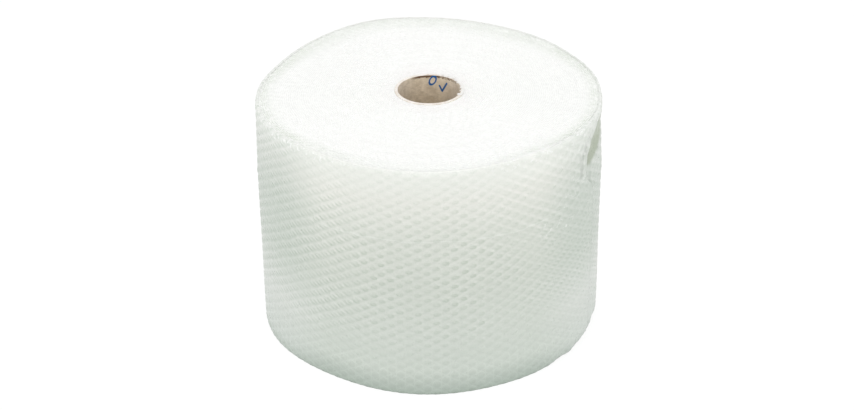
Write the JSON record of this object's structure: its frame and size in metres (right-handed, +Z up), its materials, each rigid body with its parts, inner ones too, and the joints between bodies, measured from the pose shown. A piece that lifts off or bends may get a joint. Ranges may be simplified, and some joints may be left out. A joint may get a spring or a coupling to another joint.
{
  "type": "bubble wrap roll",
  "caption": "Roll of small-bubble cushioning film wound on a cardboard core, standing on its end, with the film's free end and a sprung-open fold at one side.",
  "frame": {"origin": "on the core's axis, in the plane of the end that the roll stands on", "axes": "+Z up along the core's axis; -Y towards the front of the picture, so the film's free end is at 25 degrees before +X, near the right-hand side"},
  "size_m": [0.4168, 0.4241, 0.3],
  "materials": {
    "film": "gloss",
    "core": "matte"
  },
  "bodies": {
    "root": {"cardboard_core": "core", "bubble_film": "film"}
  },
  "joints": []
}
